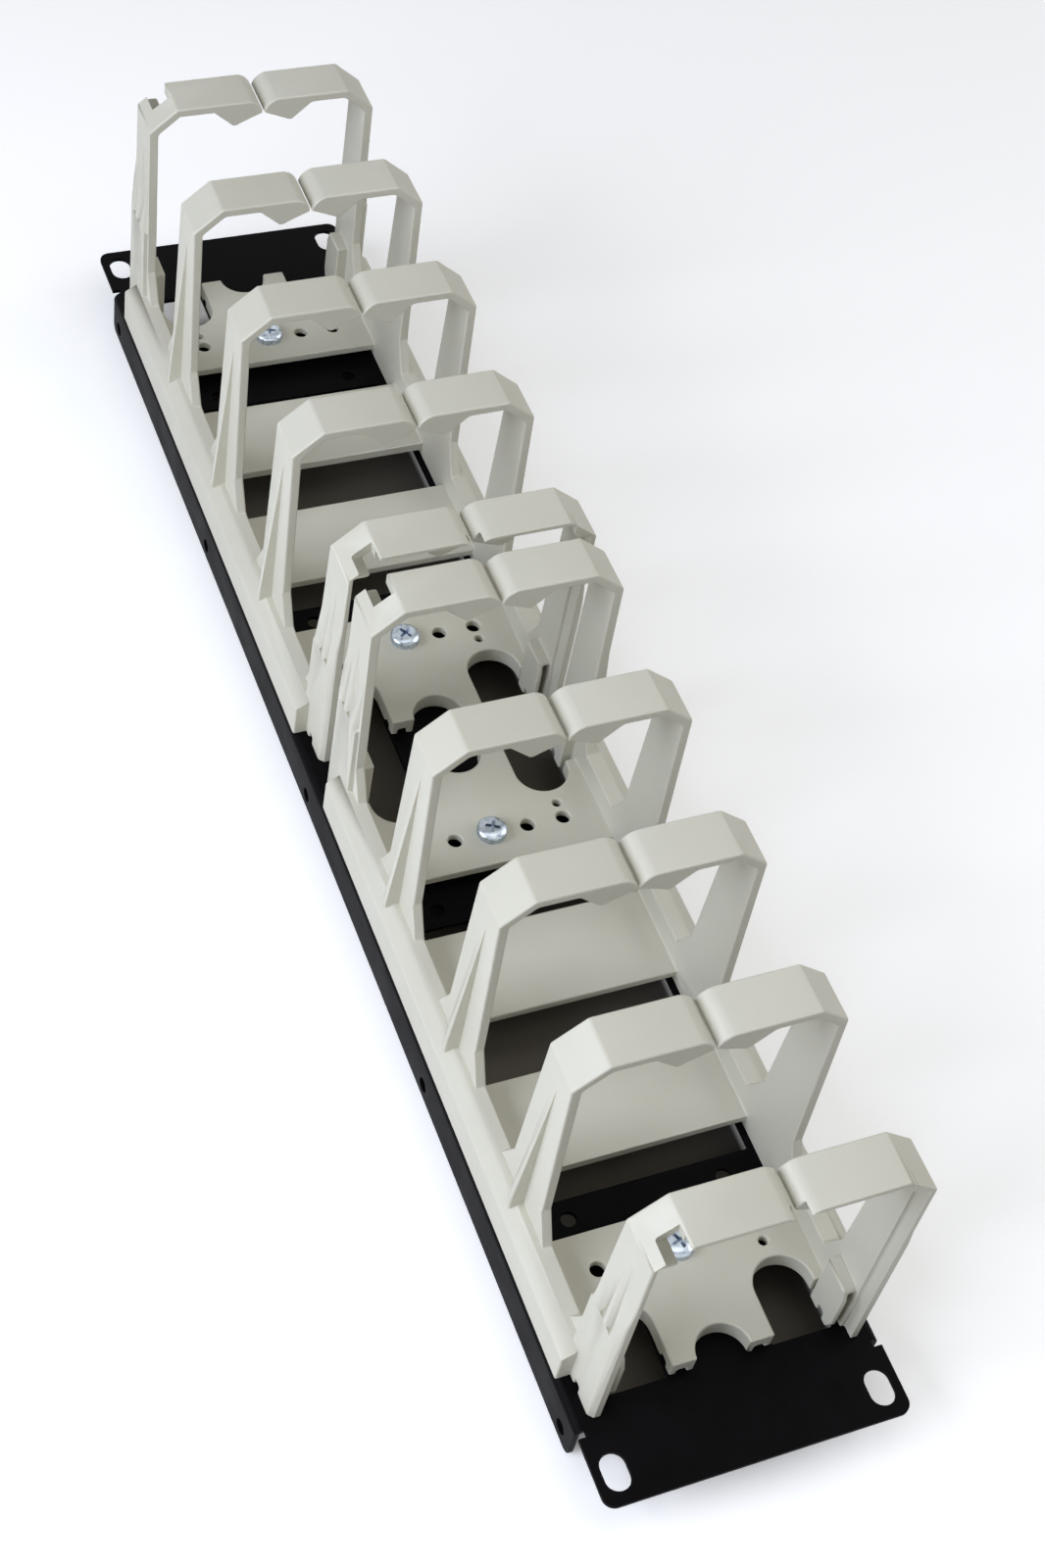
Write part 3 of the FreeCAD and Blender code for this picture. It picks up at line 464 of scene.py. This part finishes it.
def cut_with(piece, cutter, operation):
    """Applies a Boolean and removes its cutter."""
    bpy.context.view_layer.objects.active = piece
    boolean = piece.modifiers.new("cut", "BOOLEAN")
    boolean.operation = operation
    boolean.solver = "EXACT"
    boolean.object = cutter
    bpy.ops.object.modifier_apply(modifier="cut")
    bpy.data.objects.remove(cutter)


# %% Screw head
HEAD_R, HEAD_RIM, HEAD_TOP = 4.6 * MM, 1.7 * MM, 3.1 * MM
CROWN = [(4.52, 1.95), (4.3, 2.22), (3.9, 2.5), (3.3, 2.75), (2.5, 2.94),
         (1.6, 3.05), (0.8, 3.09)]      # radius and height of each step in mm
bpy.ops.object.select_all(action="DESELECT")
bpy.ops.mesh.primitive_cylinder_add(vertices=64, radius=HEAD_R, depth=HEAD_RIM,
                                    location=(0, 0, HEAD_RIM / 2))
head = bpy.context.object
bpy.ops.object.transform_apply(location=True)
pick_faces(head, lambda f: f.normal.z > 0.9)
r_now, z_now = HEAD_R, HEAD_RIM
for r_mm, z_mm in CROWN:
    bpy.ops.mesh.extrude_region_move(
        TRANSFORM_OT_translate={"value": (0, 0, z_mm * MM - z_now)})
    bpy.ops.transform.resize(value=(r_mm * MM / r_now, r_mm * MM / r_now, 1.0))
    r_now, z_now = r_mm * MM, z_mm * MM
bpy.ops.object.mode_set(mode="OBJECT")

# %% Cross recess
BAR_SIZE, BAR_MIDDLE = (5.0 * MM, 1.05 * MM, 2.2 * MM), 2.3 * MM
BAR_TAPER = 0.55                        # width of the bar's foot against its top
for turn_deg in (0.0, 90.0):
    bpy.ops.object.select_all(action="DESELECT")
    bpy.ops.mesh.primitive_cube_add(size=1.0, location=(0, 0, BAR_MIDDLE))
    bar = bpy.context.object
    bar.scale = BAR_SIZE
    bar.rotation_euler = (0, 0, math.radians(turn_deg))
    bpy.ops.object.transform_apply(location=True, rotation=True, scale=True)
    pick_faces(bar, lambda f: f.normal.z < -0.9)
    bpy.ops.transform.resize(value=(BAR_TAPER, BAR_TAPER, 1.0))
    bpy.ops.object.mode_set(mode="OBJECT")
    cut_with(head, bar, "DIFFERENCE")
print("screw head faces", len(head.data.polygons))

# %% Screw core
CORE_R, SHANK = 2.03 * MM, 14.5 * MM
TIP_CONE = 0.3 * MM
AT_EDGE = 0.01 * MM                     # how near a corner must be to count as on an edge
bpy.ops.object.select_all(action="DESELECT")
bpy.ops.mesh.primitive_cylinder_add(vertices=48, radius=CORE_R, depth=SHANK,
                                    location=(0, 0, -SHANK / 2))
core = bpy.context.object
bpy.ops.object.transform_apply(location=True)
pick_faces(core, lambda f: f.normal.z < -0.9)
bpy.ops.mesh.inset(thickness=TIP_CONE)
bpy.ops.object.mode_set(mode="OBJECT")
for v in core.data.vertices:            # a short cone leads the tip into the nut
    if v.co.z < -SHANK + AT_EDGE and v.co.xy.length > CORE_R - AT_EDGE:
        v.co.z += TIP_CONE
print("screw core", round(SHANK / MM, 1), "mm long")

# %% Screw thread
PITCH, TURNS, TURN_STEPS = 0.8 * MM, 16, 32
ROOT_R, CREST_R = CORE_R - 0.05 * MM, 2.38 * MM     # the root sits in the core's skin
CREST_LOW, CREST_HIGH = 0.34 * MM, 0.46 * MM
TIP_GAP = 0.35 * MM                     # from the screw's tip to the first thread
bpy.ops.object.select_all(action="DESELECT")
tooth_mesh = bpy.data.meshes.new("thread_tooth")
tooth_mesh.from_pydata([(ROOT_R, 0, 0), (CREST_R, 0, CREST_LOW),
                        (CREST_R, 0, CREST_HIGH), (ROOT_R, 0, PITCH)],
                       [(0, 1), (1, 2), (2, 3)], [])
thread = bpy.data.objects.new("thread", tooth_mesh)
bpy.context.collection.objects.link(thread)
bpy.context.view_layer.objects.active = thread
thread.select_set(True)
wind = thread.modifiers.new("wind", "SCREW")
wind.axis = "Z"
wind.angle = math.radians(360.0)
wind.screw_offset = PITCH
wind.iterations = TURNS
wind.steps = wind.render_steps = TURN_STEPS
wind.use_merge_vertices = True
wind.merge_threshold = 0.005 * MM
bpy.ops.object.modifier_apply(modifier="wind")
bpy.ops.object.mode_set(mode="EDIT")
bpy.ops.mesh.select_all(action="SELECT")
bpy.ops.mesh.remove_doubles(threshold=0.004 * MM)
bpy.ops.mesh.fill_holes(sides=0)
bpy.ops.mesh.select_all(action="SELECT")
bpy.ops.mesh.normals_make_consistent(inside=False)
bpy.ops.object.mode_set(mode="OBJECT")
low = min(v.co.z for v in thread.data.vertices)
thread.location.z = -SHANK + TIP_GAP - low
bpy.ops.object.transform_apply(location=True)
print("thread runs from", round(min(v.co.z for v in thread.data.vertices) / MM, 2),
      "to", round(max(v.co.z for v in thread.data.vertices) / MM, 2), "mm")

# %% One whole screw
bpy.ops.object.select_all(action="DESELECT")
for part in (head, core, thread):
    part.select_set(True)
bpy.context.view_layer.objects.active = head
bpy.ops.object.join()
screw = bpy.context.object
bpy.ops.object.shade_smooth_by_angle(angle=SMOOTH_TURN)
screw.data.materials.clear()
screw.data.materials.append(zinc)
print("screw faces", len(screw.data.polygons))


# %% Four screws
SCREW_TURNS = {1: 18.0, 2: 63.0, 3: 33.0, 4: 75.0}  # degrees, as a driver left them


def set_in_place(pattern, node, new_name, at, turn_deg):
    """One copy with its own mesh, its place held in the mesh."""
    bpy.ops.object.select_all(action="DESELECT")
    piece = bpy.data.objects.new(new_name, pattern.data.copy())
    bpy.context.collection.objects.link(piece)
    piece.location = at
    piece.rotation_euler = (0, 0, math.radians(turn_deg))
    bpy.context.view_layer.objects.active = piece
    piece.select_set(True)
    bpy.ops.object.transform_apply(location=True, rotation=True)
    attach(piece, "root")
    if node:
        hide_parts(node)


for number, turn_deg in SCREW_TURNS.items():
    low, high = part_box("pan_screw_%d" % number)
    seat = high[2] - HEAD_TOP
    middle = ((low[0] + high[0]) / 2, (low[1] + high[1]) / 2, seat)
    set_in_place(screw, "pan_screw_%d" % number, "crowned_screw_%d" % number, middle,
                 turn_deg)
    print("screw", number, "at", [round(c / MM, 1) for c in middle])
bpy.data.objects.remove(screw)

# %% [markdown]
# ## Lock nuts
#
# A lock nut has a hexagon whose corners are turned back to a shallow cone,
# and a thin collar that holds a nylon ring.  The corners come from one
# Boolean: the hexagon is kept only where a chamfered disc reaches.  The
# nylon is a second piece, because it is another material.

# %% Nylon
nylon, t = new_material("moulded_nylon")
place = add_node(t, "ShaderNodeTexCoord").outputs["Object"]
# milky clouds of 1.1 mm in a matt, slightly grey white
mottle = add_node(t, "ShaderNodeTexNoise", None, Vector=place, Scale=900.0,
                  Detail=2.0).outputs["Fac"]
milky = add_node(t, "ShaderNodeValToRGB", None, Fac=mottle)
milky.color_ramp.elements[0].color = linear("c9cdd0")
milky.color_ramp.elements[1].color = linear("dcdfe0")
shader = add_node(t, "ShaderNodeBsdfPrincipled", None, Base_Color=milky.outputs["Color"],
                  Roughness=0.45, IOR=1.53)
add_node(t, "ShaderNodeOutputMaterial", None, Surface=shader.outputs["BSDF"])
print(nylon.name, "has", len(t.nodes), "nodes")

# %% Hexagon
NUT_R, HEX_H = 4.62 * MM, 3.6 * MM
FLAT_R, CORNER_DROP = 3.85 * MM, 0.4 * MM           # the cone that turns the corners back
bpy.ops.object.select_all(action="DESELECT")
bpy.ops.mesh.primitive_cylinder_add(vertices=6, radius=NUT_R, depth=HEX_H,
                                    location=(0, 0, -HEX_H / 2),
                                    rotation=(0, 0, math.radians(30.0)))
hexagon = bpy.context.object
bpy.ops.object.transform_apply(location=True, rotation=True)
bpy.ops.object.select_all(action="DESELECT")
bpy.ops.mesh.primitive_cylinder_add(vertices=64, radius=NUT_R, depth=HEX_H,
                                    location=(0, 0, -HEX_H / 2))
disc = bpy.context.object
bpy.ops.object.transform_apply(location=True)
for sign in (1.0, -1.0):
    pick_faces(disc, lambda f: f.normal.z * sign > 0.9)
    bpy.ops.mesh.extrude_region_move(TRANSFORM_OT_translate={"value": (0, 0, 0)})
    bpy.ops.transform.resize(value=(FLAT_R / NUT_R, FLAT_R / NUT_R, 1.0))
    bpy.ops.object.mode_set(mode="OBJECT")
for v in disc.data.vertices:
    if v.co.xy.length > NUT_R - AT_EDGE:
        v.co.z += -CORNER_DROP if v.co.z > -HEX_H / 2 else CORNER_DROP
cut_with(hexagon, disc, "INTERSECT")
print("hexagon faces", len(hexagon.data.polygons))

# %% Collar
COLLAR_R, COLLAR_H, COLLAR_ROUND = 3.6 * MM, 1.4 * MM, 0.25 * MM
LIP, SEAT_DEPTH = 0.3 * MM, 0.5 * MM                # the seat of the nylon ring
bpy.ops.object.select_all(action="DESELECT")
bpy.ops.mesh.primitive_cylinder_add(vertices=48, radius=COLLAR_R, depth=COLLAR_H,
                                    location=(0, 0, -HEX_H - COLLAR_H / 2))
collar = bpy.context.object
bpy.ops.object.transform_apply(location=True)
pick_faces(collar, lambda f: f.normal.z < -0.9)
bpy.ops.mesh.bevel(offset=COLLAR_ROUND, segments=3, affect="EDGES")
bpy.ops.object.mode_set(mode="OBJECT")
pick_faces(collar, lambda f: f.normal.z < -0.99 and f.center.xy.length < 0.1 * MM)
bpy.ops.mesh.inset(thickness=LIP)
bpy.ops.mesh.extrude_region_move(
    TRANSFORM_OT_translate={"value": (0, 0, SEAT_DEPTH)})
bpy.ops.object.mode_set(mode="OBJECT")
bpy.ops.object.select_all(action="DESELECT")
hexagon.select_set(True)
collar.select_set(True)
bpy.context.view_layer.objects.active = hexagon
bpy.ops.object.join()
nut = bpy.context.object
bpy.ops.object.shade_smooth_by_angle(angle=SMOOTH_TURN)
nut.data.materials.clear()
nut.data.materials.append(zinc)
print("nut faces", len(nut.data.polygons))

# %% Nylon ring
RING_R, RING_H, RING_ROUND = 2.98 * MM, 0.7 * MM, 0.12 * MM
bpy.ops.object.select_all(action="DESELECT")
bpy.ops.mesh.primitive_cylinder_add(vertices=48, radius=RING_R, depth=RING_H,
                                    location=(0, 0, -HEX_H - COLLAR_H + SEAT_DEPTH))
ring = bpy.context.object
bpy.ops.object.transform_apply(location=True)
pick_faces(ring, lambda f: f.normal.z < -0.9)
bpy.ops.mesh.bevel(offset=RING_ROUND, segments=2, affect="EDGES")
bpy.ops.object.mode_set(mode="OBJECT")
bpy.ops.object.shade_smooth_by_angle(angle=SMOOTH_TURN)
ring.data.materials.clear()
ring.data.materials.append(nylon)
print("ring faces", len(ring.data.polygons))

# %% Four nuts
for number in (1, 2, 3, 4):
    low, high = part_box("lock_nut_%d" % number)
    middle = ((low[0] + high[0]) / 2, (low[1] + high[1]) / 2, high[2])
    set_in_place(nut, "lock_nut_%d" % number, "chamfered_nut_%d" % number, middle, 0.0)
    set_in_place(ring, None, "nylon_ring_%d" % number, middle, 0.0)
    print("nut", number, "at", [round(c / MM, 1) for c in middle])
bpy.data.objects.remove(nut)
bpy.data.objects.remove(ring)

# %% [markdown]
# ## Floor and light
#
# A pale sheet of paper and three soft lamps make the studio.  The window lamp
# stands on the left, is slightly blue and gives the left-hand chamfers the
# brightest light.  A lamp overhead lights the tops a little less, and one on
# the right keeps the shaded faces open.
#
# The paper could be made white with more light, but that would burn out the
# plastic as well.  Instead Light Path tells which rays see the paper and the
# air directly, or in a reflection, and only those find them white.  Light
# that bounces on to the part comes from a plain grey sheet.  The paper keeps
# the part's shadow near it, and fades to plain white further off, so that no
# horizon shows.
# Straight under the panel the paper is coloured a dim grey-brown, a painted shade seen
# through the openings.

# %% Directly seen rays
def seen_directly(tree):
    """1 for rays that show the studio itself, 0 for light bounced on to the part."""
    rays = add_node(tree, "ShaderNodeLightPath").outputs
    seen = add_node(tree, "ShaderNodeMath", {"operation": "MAXIMUM"},
                    i0=rays["Is Camera Ray"], i1=rays["Is Glossy Ray"])
    return add_node(tree, "ShaderNodeMath", {"operation": "MAXIMUM"},
                    i0=seen.outputs["Value"],
                    i1=rays["Is Transmission Ray"]).outputs["Value"]


# %% Sheet of paper
SHEET_SIZE, SHEET_GAP = 8.0, 0.05 * MM              # just clear of the part's underside
bpy.ops.object.select_all(action="DESELECT")
bpy.ops.mesh.primitive_plane_add(size=SHEET_SIZE,
                                 location=(0, 0, cad_box[0][2] - SHEET_GAP))
table = bpy.context.object
table.name = "studio_table"
print("paper at", [round(c / MM, 2) for c in table.location], "mm")

# %% Where the paper is painted dim and where it fades
SHADE_X = (212.0 * MM, 220.0 * MM)      # the painted shade patch ends between these,
SHADE_Y = (38.0 * MM, 42.5 * MM)        # just inside the folded edges
FADE = (0.4, 1.5)                       # metres from the middle; plain white beyond
paper, t = new_material("pale_paper_sweep")
spot = add_node(t, "ShaderNodeTexCoord").outputs["Object"]
axes = add_node(t, "ShaderNodeSeparateXYZ", None, Vector=spot).outputs
off_end = add_node(t, "ShaderNodeMath", {"operation": "ABSOLUTE"}, i0=axes["X"])
off_end = add_node(t, "ShaderNodeMapRange", None, Value=off_end.outputs["Value"],
                   From_Min=SHADE_X[0], From_Max=SHADE_X[1]).outputs["Result"]
off_side = add_node(t, "ShaderNodeMath", {"operation": "ABSOLUTE"}, i0=axes["Y"])
off_side = add_node(t, "ShaderNodeMapRange", None, Value=off_side.outputs["Value"],
                    From_Min=SHADE_Y[0], From_Max=SHADE_Y[1]).outputs["Result"]
off_painted_shade = add_node(t, "ShaderNodeMath", {"operation": "MAXIMUM"}, i0=off_end,
                   i1=off_side).outputs["Value"]
away = add_node(t, "ShaderNodeVectorMath", {"operation": "LENGTH"}, i0=spot)
away = add_node(t, "ShaderNodeMapRange", {"interpolation_type": "SMOOTHSTEP"},
                Value=away.outputs["Value"], From_Min=FADE[0],
                From_Max=FADE[1]).outputs["Result"]
print("paper is plain white from", FADE[1], "m")

# %% Paper finish
BLACK, WHITE = linear("000000"), linear("ffffff")
MIXED = 2                               # a colour Mix node's result, inputs 6 and 7
# painted shade: straight under the panel, where the paper is hidden from the room, it is
# coloured a dim grey-brown
tone = add_node(t, "ShaderNodeMix", {"data_type": "RGBA"}, i0=off_painted_shade,
                i6=linear("6f6a62"), i7=WHITE).outputs[MIXED]
tone = add_node(t, "ShaderNodeMix", {"data_type": "RGBA"}, i0=away, i6=tone,
                i7=BLACK).outputs[MIXED]
# a glow lifts the shadow beyond the panel and takes over where the paper fades
lift = add_node(t, "ShaderNodeMix", {"data_type": "RGBA"}, i0=off_painted_shade, i6=BLACK,
                i7=linear("8c8c8c")).outputs[MIXED]
lift = add_node(t, "ShaderNodeMix", {"data_type": "RGBA"}, i0=away, i6=lift,
                i7=WHITE).outputs[MIXED]
sheet = add_node(t, "ShaderNodeBsdfDiffuse", None, Color=tone).outputs["BSDF"]
glow = add_node(t, "ShaderNodeEmission", None, Color=lift,
                Strength=1.0).outputs["Emission"]
shown = add_node(t, "ShaderNodeAddShader", None, i0=sheet, i1=glow).outputs["Shader"]
plain = add_node(t, "ShaderNodeBsdfDiffuse", None, Color=linear("b9b5ae"))
finish = add_node(t, "ShaderNodeMixShader", None, i0=seen_directly(t),
                  i1=plain.outputs["BSDF"], i2=shown)
add_node(t, "ShaderNodeOutputMaterial", None, Surface=finish.outputs["Shader"])
table.data.materials.append(paper)
print(paper.name, "has", len(t.nodes), "nodes")


# %% Lamps
def soft_lamp(name, at, target, size, watts, colour):
    """A rectangular soft box at one place, aimed at another."""
    bpy.ops.object.light_add(type="AREA", location=at)
    lamp = bpy.context.object
    lamp.name = name
    lamp.data.shape = "RECTANGLE"
    lamp.data.size, lamp.data.size_y = size
    lamp.data.energy = watts
    lamp.data.color = linear(colour)[:3]
    aim = (Vector(target) - Vector(at)).normalized()
    lamp.rotation_euler = aim.to_track_quat("-Z", "Y").to_euler()
    print(name, watts, "W")


NEAR_HALF, NEAR_END = (0.1, 0, 0.05), (0.2, 0, 0.05)
soft_lamp("window_lamp", (0.2, -0.86, 0.52), NEAR_HALF, (0.9, 0.6), 10.9, "eaf0ff")
soft_lamp("top_lamp", (0.2, 0.0, 0.75), NEAR_END, (0.5, 0.5), 0.95, "ffffff")
soft_lamp("far_side_lamp", (0.2, 1.1, 0.8), NEAR_HALF, (1.0, 0.8), 5.2, "ffffff")

# %% Air
AIR_STRENGTH, BACKDROP_STRENGTH = 0.2, 1.0          # a strength of 1 is white
world = bpy.data.worlds.new("studio_air")
bpy.context.scene.world = world
world.use_nodes = True
t = world.node_tree
t.nodes.clear()
air = add_node(t, "ShaderNodeBackground", None, Color=WHITE, Strength=AIR_STRENGTH)
backdrop = add_node(t, "ShaderNodeBackground", None, Color=WHITE,
                    Strength=BACKDROP_STRENGTH)
sky = add_node(t, "ShaderNodeMixShader", None, i0=seen_directly(t),
               i1=air.outputs["Background"], i2=backdrop.outputs["Background"])
add_node(t, "ShaderNodeOutputWorld", None, Surface=sky.outputs["Shader"])
bpy.context.scene.view_settings.view_transform = "Standard"
print(world.name, "has", len(t.nodes), "nodes")

# %% [markdown]
# ## The frame's box
#
# The dressed model is meant to stay inside the frame's own box, so that box
# is printed before the lesson ends.

# %% Frame's box
print("cad box", cad_box)
